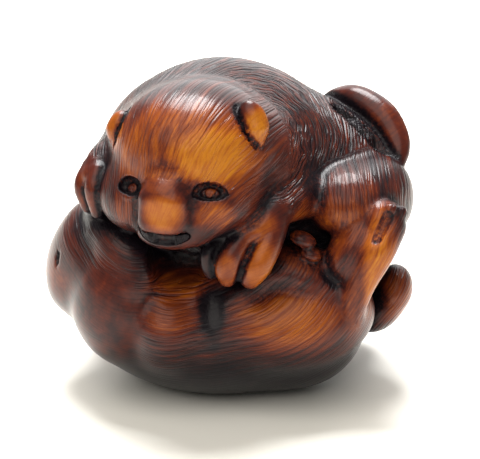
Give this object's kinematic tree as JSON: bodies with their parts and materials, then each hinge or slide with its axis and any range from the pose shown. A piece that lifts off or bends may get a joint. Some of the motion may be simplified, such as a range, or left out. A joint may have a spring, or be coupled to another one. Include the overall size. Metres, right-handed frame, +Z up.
{
  "type": "netsuke",
  "caption": "Small carved wooden toggle of two puppies curled one on top of the other, with a flat foot and a cord tunnel.",
  "frame": {"origin": "middle of the flat foot under the lower puppy, the face the carving stands on", "axes": "+X to the right seen from the front, the way the carving is widest; -Y towards the front, where the upper puppy's face is; +Z up"},
  "size_m": [0.0404, 0.0348, 0.0358],
  "materials": {
    "stained_wood": "polished stained boxwood, golden on the worn high spots and almost black in the recesses"
  },
  "bodies": {
    "root": {"puppies": "stained_wood"}
  },
  "joints": []
}
